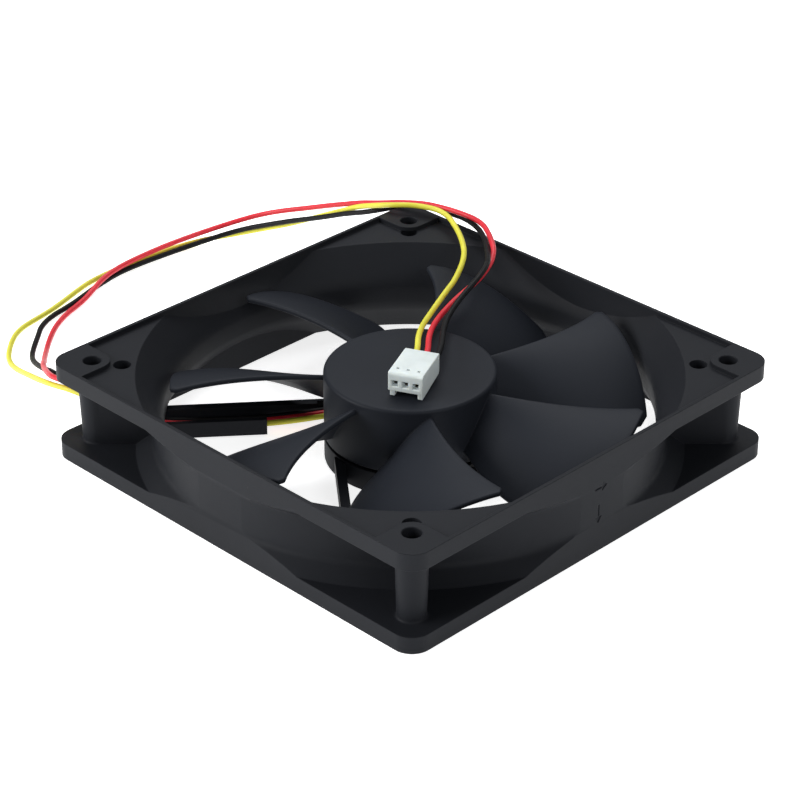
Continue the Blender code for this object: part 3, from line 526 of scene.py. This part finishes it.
NODE_MAT = {
    "frame": "frame", "impeller": "rotor", "rotor_yoke": "yoke", "magnet_ring": "magnet", "shaft": "shaft", "thrust_washer": "washer",
    "retaining_clip": "clip", "bearing_sleeve": "bronze", "stator_core": "core", "lower_insulator": "insulator", "upper_insulator": "insulator",
    "stator_coil_1": "copper", "stator_coil_2": "copper", "stator_coil_3": "copper", "stator_coil_4": "copper", "circuit_board": "board",
    "hall_driver_chip": "chip", "capacitor": "capacitor", "bearing_plug": "plug", "back_label": "label", "connector_housing": "housing",
    "terminal_yellow": "tin", "terminal_red": "tin", "terminal_black": "tin", "lead_yellow": "yellow", "lead_red": "red", "lead_black": "black",
}
for n, k in NODE_MAT.items():
    me = NODES[n].data
    me.materials.clear()
    me.materials.append(M[k])

# ================================================================ leads
for c in ("yellow", "red", "black"):
    pts, total = smooth_route(smooth_route(PATHS[c], LEAD_STEP)[0], 1.2)
    cu = bpy.data.curves.new(f"wire_{c}", "CURVE")
    cu.dimensions = "3D"
    s = cu.splines.new("POLY")
    s.points.add(len(pts) - 1)
    for p, q in zip(s.points, pts):
        p.co = (q.x * MM, q.y * MM, q.z * MM, 1)
    s.use_smooth = True
    cu.bevel_depth = LEAD_D / 2 * MM
    cu.bevel_resolution = 5
    cu.use_fill_caps = True
    cu.materials.append(M[c])
    wire = bpy.data.objects.new(f"wire_{c}", cu)
    scene.collection.objects.link(wire)
    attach(wire, "frame")
    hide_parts(f"lead_{c}")

# ================================================================ fine pieces over the faceted CAD solids
def evaluated(o):
    """A plain mesh object in place of o, with its modifiers or curve worked out."""
    if o.name not in scene.collection.objects:
        scene.collection.objects.link(o)
    bpy.context.view_layer.update()
    dg = bpy.context.evaluated_depsgraph_get()
    me = bpy.data.meshes.new_from_object(o.evaluated_get(dg))
    b = bmesh.new()
    b.from_mesh(me)
    bmesh.ops.remove_doubles(b, verts=b.verts, dist=1e-7)
    b.to_mesh(me)
    b.free()
    name, world = o.name, o.matrix_world.copy()
    bpy.data.objects.remove(o, do_unlink=True)
    new = bpy.data.objects.new(name, me)
    new.matrix_world = world
    return new


def boolean(o, tools, op):
    """Joins or cuts o with each tool in turn; the tools are used up."""
    for t in tools:
        if t.name not in scene.collection.objects:
            scene.collection.objects.link(t)
        m = o.modifiers.new(t.name, "BOOLEAN")
        m.operation = op
        m.solver = "EXACT"
        m.object = t
    o = evaluated(o)
    for t in tools:
        bpy.data.objects.remove(t, do_unlink=True)
    return o


def piece(o, mat, node, angle=28.0):
    if o.name not in scene.collection.objects:
        scene.collection.objects.link(o)
    o.data.materials.clear()
    o.data.materials.append(M[mat])
    o.data.shade_smooth()
    o.data.set_sharp_from_angle(angle=math.radians(angle))
    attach(o, BODY[node])
    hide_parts(node)
    return o


BODY = {"frame": "frame", "impeller": "rotor", "connector_housing": "frame"}


def bezier(a, b, c, n):
    return [tuple(a[k] * (1 - t) ** 2 + 2 * b[k] * t * (1 - t) + c[k] * t * t for k in (0, 1)) for t in [i / n for i in range(n + 1)]]


# ---------------------------------------------------------------- frame
H = SIDE / 2
ROUND = 256
corners = [(sx, sy) for sx in (-1, 1) for sy in (-1, 1)]
duct = turned("f_duct", [(0, 21.6), (66.0, 21.6)] + bezier((61.4, 18.3), (DUCT_R, 17.6), (DUCT_R, 16.6), 4)
              + bezier((DUCT_R, 8.4), (DUCT_R, 7.4), (61.4, 6.7), 4) + [(66.0, 3.4), (0, 3.4)], ROUND, cyclic=False)
pocket = block("f_pocket", (-70, -70, FLANGE), (70, 70, DEPTH - FLANGE))
posts = []
for i, (sx, sy) in enumerate(corners):
    lo, hi = POST_R[0] + 0.06, POST_R[1] - 0.06
    prof = [(0, 23.0), (hi + 0.45, 23.0), (hi + 0.45, 20.9)] + bezier((hi + 0.45, 20.8), (hi, 20.8), (hi, 20.2), 4) \
        + bezier((lo, 4.9), (lo, 4.2), (lo + 0.6, 4.2), 4) + [(lo + 0.6, 2.0), (0, 2.0)]
    p = turned(f"f_post_{i}", prof, 48, cyclic=False)
    p.data.transform(Matrix.Translation((sx * HOLE_AT * MM, sy * HOLE_AT * MM, 0)))
    posts.append(p)
webs = [block(f"f_web_{i}", (57.0, -WEB, 2), (HOLE_AT * math.sqrt(2), WEB, 23), math.degrees(math.atan2(sy, sx))) for i, (sx, sy) in enumerate(corners)]
pocket = boolean(pocket, [duct] + posts + webs, "DIFFERENCE")
top, low = DEPTH - RECESS + 0.2, 0.0
bore = turned("f_bore", [(0, 27), (MOUTH_R, 27), (MOUTH_R, top)] + bezier((THROAT_R + 2.2, DEPTH - FLARE + 1.1), (THROAT_R + 0.35, DEPTH - FLARE - 1.3), (THROAT_R, DEPTH - FLARE - 3.4), 8)
              + bezier((THROAT_R, FLARE + 2.8), (THROAT_R + 0.35, FLARE + 0.7), (THROAT_R + 2.2, FLARE - 1.45), 8) + [(MOUTH_R, 0), (MOUTH_R, -2), (0, -2)], ROUND, cyclic=False)
bore = boolean(bore, [prism("f_inside_rim", [rounded_square(H - RIM, CORNER_R - RIM, 14)], -3, 28)], "INTERSECT")
recess = prism("f_recess", [rounded_square(H - RIM, CORNER_R - RIM, 14)], DEPTH - RECESS, 27)
pads = []
for i, (sx, sy) in enumerate(corners):
    c, e = HOLE_AT, 62.0
    pts = [(e, c - PAD_R), (e, e), (c - PAD_R, e)] + arc(c, c, PAD_R, 180, 270, 24)
    pts = [(sx * x, sy * y) for x, y in pts]
    pads.append(prism(f"f_pad_{i}", [pts if sx * sy > 0 else pts[::-1]], DEPTH - RECESS - 1, 28))
recess = boolean(recess, pads, "DIFFERENCE")


def hole(name, x, y, r, z0, z1, mouth):
    """A round hole with a small countersunk mouth at each end that shows."""
    prof = [(0, z1 + 1), (r + mouth + 1.0, z1 + 1), (r, z1 - mouth), (r, z0 + mouth), (r + mouth + 1.0, z0 - 1), (0, z0 - 1)]
    o = turned(name, prof, 48, cyclic=False)
    o.data.transform(Matrix.Translation((x * MM, y * MM, 0)))
    return o


holes = [hole(f"f_screw_{i}", sx * HOLE_AT, sy * HOLE_AT, HOLE_R, 0, DEPTH, 0.18) for i, (sx, sy) in enumerate(corners)]
seconds = []
for i, (sx, sy) in enumerate(corners):
    at = SECOND_AT[0 if sx * sy > 0 else 1] - (0.6 if sx > 0 > sy else 0.0)
    seconds.append(rod(f"f_second_{i}", sx * at, sy * at, SECOND_R, DEPTH - SECOND_DEEP, DEPTH - RECESS + 0.1, 40))


def arrow(name, cy, cz, length, width, turn):
    """A small engraved arrow on the +X face, 0.2 mm deep; turn 0 points along +Y, 90 along +Z."""
    w, hl, hw = 0.55, 1.7, width / 2
    pts = [(-length / 2, -w / 2), (length / 2 - hl, -w / 2), (length / 2 - hl, -hw), (length / 2, 0), (length / 2 - hl, hw), (length / 2 - hl, w / 2), (-length / 2, w / 2)]
    o = prism(name, [pts], -0.2, 0.4)
    o.data.transform(Matrix.Translation((H * MM, cy * MM, cz * MM)) @ Matrix.Rotation(math.radians(turn), 4, "X")
                     @ Matrix(((0, 0, 1, 0), (1, 0, 0, 0), (0, 1, 0, 0), (0, 0, 0, 1))) @ o.matrix_world)
    o.matrix_world = Matrix.Identity(4)
    return o


arrows = [arrow("f_arrow_1", -0.6, 16.7, 4.0, 2.3, 0), arrow("f_arrow_2", -1.2, 9.9, 4.8, 2.3, -90)]
slot = block("f_slot", (49, -STRUT_OFF[0] - 0.05, CHANNEL_FLOOR - 0.03), (68.5, -CHANNEL_OFF[1] + 0.05, 8.6), STRUT_DIR)
body = prism("frame_shell", [rounded_square(H, CORNER_R, 16)], 0, DEPTH)
body = boolean(body, [pocket, bore, recess] + holes + seconds + arrows, "DIFFERENCE")
base = turned("f_base", [(BASE_R, CUP_TOP), (BASE_R, 0.0), (17.6, 0.0), (17.6, PLATE_Z[0]), (TUBE_R[0], PLATE_Z[0]), (TUBE_R[0], TUBE_TOP),
                         (TUBE_R[1], TUBE_TOP), (TUBE_R[1], PLATE_Z[1]), (19.2, PLATE_Z[1]), (19.2, CUP_TOP)], 128)
struts = [block(f"f_strut_{i}", (9.0, -STRUT_OFF[1], STRUT_Z[0]), (STRUT_END, -STRUT_OFF[0], STRUT_Z[1]), STRUT_DIR + 90 * i) for i in range(4)]
struts = [boolean(s, [turned(f"f_hollow_{i}", [(19.2, 7.0), (19.2, PLATE_Z[1]), (TUBE_R[1], PLATE_Z[1]), (TUBE_R[1], 7.0)], 128)], "DIFFERENCE") for i, s in enumerate(struts)]
wall = block("f_wall", (CHANNEL_T[0], -CHANNEL_OFF[1], STRUT_Z[0]), (CHANNEL_T[1], -CHANNEL_OFF[0], CHANNEL_TOP), STRUT_DIR)
tray = block("f_tray", (CHANNEL_T[0] + 0.1, -STRUT_OFF[0] - 0.7, STRUT_Z[0] + 0.05), (CHANNEL_T[1] - 0.2, -CHANNEL_OFF[0] - 0.4, CHANNEL_FLOOR), STRUT_DIR)
body = boolean(body, [base] + struts + [wall, tray], "UNION")
notch = block("f_notch", (6.0, -17.6, 2.9), (21.0, -10.6, 6.4), STRUT_DIR)
body = boolean(body, [slot, notch], "DIFFERENCE")
body.name = "frame_shell"
piece(body, "frame", "frame")
print("frame_shell", len(body.data.polygons))


# ---------------------------------------------------------------- rotor
def quad(v, t):
    return v[0] * (1 - t) * (1 - 2 * t) + v[1] * 4 * t * (1 - t) + v[2] * t * (2 * t - 1)


def blade_point(u, v):
    """u from the hub to the tip, v from the trailing to the leading edge; the tip's two corners are round."""
    e = abs(v - 0.5) * 2
    k = 0.075
    if e > 1 - k:
        u = u * (1 - 0.042 * (1 - math.sqrt(max(0.0, 1 - ((e - 1 + k) / k) ** 2))))
    r = (HUB_R - 0.75) + (TIP_R - HUB_R + 0.75) * u
    t = max(0.0, (r - HUB_R) / (TIP_R - HUB_R))
    a = quad(TRAIL_ANGLE, t) * (1 - v) + quad(LEAD_ANGLE, t) * v
    z0, z1 = quad(TRAIL_Z, t), quad(LEAD_Z, t)
    z = z0 * (1 - v) + z1 * v + (1.5 + 1.9 * t) * 4 * v * (1 - v) * (0.55 + 0.45 * v)
    return r, a, z


def blade(i, nu=26, nv=30):
    me = bpy.data.meshes.new(f"vane_{i}")
    b = bmesh.new()
    bmesh.ops.create_grid(b, x_segments=nu, y_segments=nv, size=0.5)
    turn = i * 360.0 / BLADES
    for p in b.verts:
        v = p.co.y + 0.5
        v = 0.5 - 0.5 * math.cos(math.pi * v) if abs(v - 0.5) > 0.499 else v + 0.035 * math.sin(4 * math.pi * (v - 0.5))
        r, a, z = blade_point(p.co.x + 0.5, min(1.0, max(0.0, v)))
        q = math.radians(a + turn)
        p.co = (r * math.cos(q) * MM, r * math.sin(q) * MM, z * MM)
    b.to_mesh(me)
    b.free()
    o = bpy.data.objects.new(f"vane_{i}", me)
    m = o.modifiers.new("thickness", "SOLIDIFY")
    m.thickness = BLADE_T * MM
    m.offset = 0.0
    m.use_even_offset = True
    m = o.modifiers.new("edge", "BEVEL")
    m.width = 0.42 * MM
    m.segments = 3
    m.limit_method = "ANGLE"
    m.angle_limit = math.radians(50)
    return outward(evaluated(o))


R = 0.9
hub = turned("impeller_shell", [(0, HUB_Z[1])] + [(HUB_R - R + R * math.sin(a), HUB_Z[1] - R + R * math.cos(a)) for a in [math.pi / 2 * k / 9 for k in range(10)]]
             + [(HUB_R, HUB_Z[0] + 0.2), (HUB_R - 0.2, HUB_Z[0]), (19.1, HUB_Z[0]), (19.1, 21.2), (4.1, 21.2), (4.1, 17.5), (1.8, 17.5), (1.8, 21.2), (0, 21.2)], 176, cyclic=False)
vanes = [blade(i) for i in range(BLADES)]
b = bmesh.new()
b.from_mesh(hub.data)
for v in vanes:
    b.from_mesh(v.data)
b.to_mesh(hub.data)
b.free()
for v in vanes:
    bpy.data.objects.remove(v, do_unlink=True)
piece(hub, "rotor", "impeller", 40.0)
print("impeller_shell", len(hub.data.polygons))

# ---------------------------------------------------------------- connector
shell = block("connector_shell", (x0, -CON_W / 2, CON_Z[0] + FOOT), (x1, CON_W / 2, CON_Z[1]))
m = shell.modifiers.new("edge", "BEVEL")
m.width = 0.22 * MM
m.segments = 4
shell = evaluated(shell)
nose = block("c_nose", (x1 - 0.9, -CON_W, CON_Z[1] - 0.9), (x1 + 1.0, CON_W, CON_Z[1] + 1.0))
round_nose = turned("c_round", [(0, 8.0), (0.9, 8.0), (0.9, -8.0), (0, -8.0)], 64, cyclic=False)
round_nose.data.transform(Matrix.Translation(((x1 - 0.9) * MM, 0, (CON_Z[1] - 0.9) * MM)) @ Matrix.Rotation(math.radians(90), 4, "X"))
nose = boolean(nose, [round_nose], "DIFFERENCE")
shell = boolean(shell, [nose], "DIFFERENCE")
feet = []
for i, s in enumerate((-1, 1)):
    edge = s * (CON_W / 2 - (0.45 if s < 0 else 0.0))
    f = block(f"c_foot_{i}", (x0 + 0.3, min(edge, edge - s * 1.2), CON_Z[0]), (x1 - 0.05, max(edge, edge - s * 1.2), CON_Z[0] + FOOT + 0.6))
    for v in f.data.vertices:
        if v.co.z < (CON_Z[0] + 0.1) * MM and v.co.x < 0:
            v.co.z += 0.9 * MM
    m = f.modifiers.new("edge", "BEVEL")
    m.width = 0.15 * MM
    m.segments = 3
    feet.append(evaluated(f))
shell = boolean(shell, feet, "UNION")
tools = []
for i in (-1, 0, 1):
    y = i * PITCH
    tools.append(block(f"c_cavity_{i}", (x0 - 1, y - CAV / 2, CON_CAV_Z - CAV / 2), (x1 - 1.0, y + CAV / 2, CON_CAV_Z + CAV / 2)))
    tools.append(block(f"c_pin_{i}", (x1 - 0.8, y - MOUTH / 2, CON_CAV_Z - MOUTH / 2), (x1 + 1, y + MOUTH / 2, CON_CAV_Z + MOUTH / 2)))
    tools.append(block(f"c_pin_in_{i}", (x1 - 1.5, y - 0.42, CON_CAV_Z - 0.42), (x1, y + 0.42, CON_CAV_Z + 0.42)))
    tools.append(block(f"c_window_{i}", (x1 - 2.6, y - 0.36, CON_CAV_Z + 1.5), (x1 - 1.9, y + 0.36, CON_Z[1] + 1)))
    # a soft funnel round each pin opening
    f = bpy.data.meshes.new("c_funnel")
    b = bmesh.new()
    bmesh.ops.create_cone(b, cap_ends=True, segments=4, radius1=(MOUTH / 2 + 0.22) * 1.41421 * MM, radius2=(MOUTH / 2 - 0.08) * 1.41421 * MM, depth=0.3 * MM)
    bmesh.ops.rotate(b, cent=(0, 0, 0), matrix=Matrix.Rotation(math.radians(45), 3, "Z"), verts=b.verts)
    bmesh.ops.rotate(b, cent=(0, 0, 0), matrix=Matrix.Rotation(math.radians(-90), 3, "Y"), verts=b.verts)
    bmesh.ops.translate(b, vec=((x1 - 0.13) * MM, y * MM, CON_CAV_Z * MM), verts=b.verts)
    b.to_mesh(f)
    b.free()
    tools.append(bpy.data.objects.new(f"c_funnel_{i}", f))
shell = boolean(shell, tools, "DIFFERENCE")
shell.data.transform(con_matrix)
shell.name = "connector_shell"
piece(shell, "housing", "connector_housing", 35.0)

WORLD = 0.26
FLOOR_GLOW = 0.80
LIGHTS = [
    ("key", (-0.9, -1.3, 0.75), (0, 0, 0.01), (1.3, 0.9), 32.0, (1.0, 1.0, 1.0)),
    ("top", (-0.5, 0.6, 1.5), (0, 0, 0), (1.4, 1.4), 24.0, (0.97, 0.98, 1.0)),
    ("fill", (1.5, -0.2, 0.8), (0, 0, 0.01), (1.0, 0.8), 9.0, (0.98, 0.99, 1.0)),
]

# ================================================================ floor and light
m, nt, b, co = new_mat("floor_paper")
soft = noise(nt, co, 3, 2)
nt.links.new(ramp(nt, soft, [(0.3, (0.90, 0.90, 0.90)), (0.7, (0.93, 0.93, 0.93))]), b.inputs["Base Color"])
nt.links.new(span(nt, noise(nt, co, 900, 3), 0.85, 0.95), b.inputs["Roughness"])
b.inputs["Specular IOR Level"].default_value = 0.1
b.inputs["Emission Color"].default_value = (1, 1, 1, 1)
b.inputs["Emission Strength"].default_value = FLOOR_GLOW
me = bpy.data.meshes.new("floor")
bm = bmesh.new()
bmesh.ops.create_grid(bm, x_segments=2, y_segments=2, size=3.0)
bm.to_mesh(me)
bm.free()
me.materials.append(m)
floor = bpy.data.objects.new("floor", me)
floor.location = (0, 0, -0.0002)
scene.collection.objects.link(floor)

world = bpy.data.worlds.new("studio")
scene.world = world
world.use_nodes = True
bg = world.node_tree.nodes["Background"]
bg.inputs["Color"].default_value = (0.96, 0.98, 1.0, 1)
bg.inputs["Strength"].default_value = WORLD


def softbox(name, at, aim, size, power, color=(1, 1, 1)):
    d = bpy.data.lights.new(name, "AREA")
    d.shape = "RECTANGLE"
    d.size, d.size_y = size
    d.energy = power
    d.color = color
    o = bpy.data.objects.new(name, d)
    scene.collection.objects.link(o)
    o.location = at
    o.rotation_mode = "QUATERNION"
    o.rotation_quaternion = (Vector(aim) - Vector(at)).to_track_quat("-Z", "Y")
    return o


for a in LIGHTS:
    softbox(*a)
scene.view_settings.view_transform = "Standard"
scene.view_settings.look = "None"
scene.view_settings.exposure = 0.0
scene.view_settings.gamma = 1.0
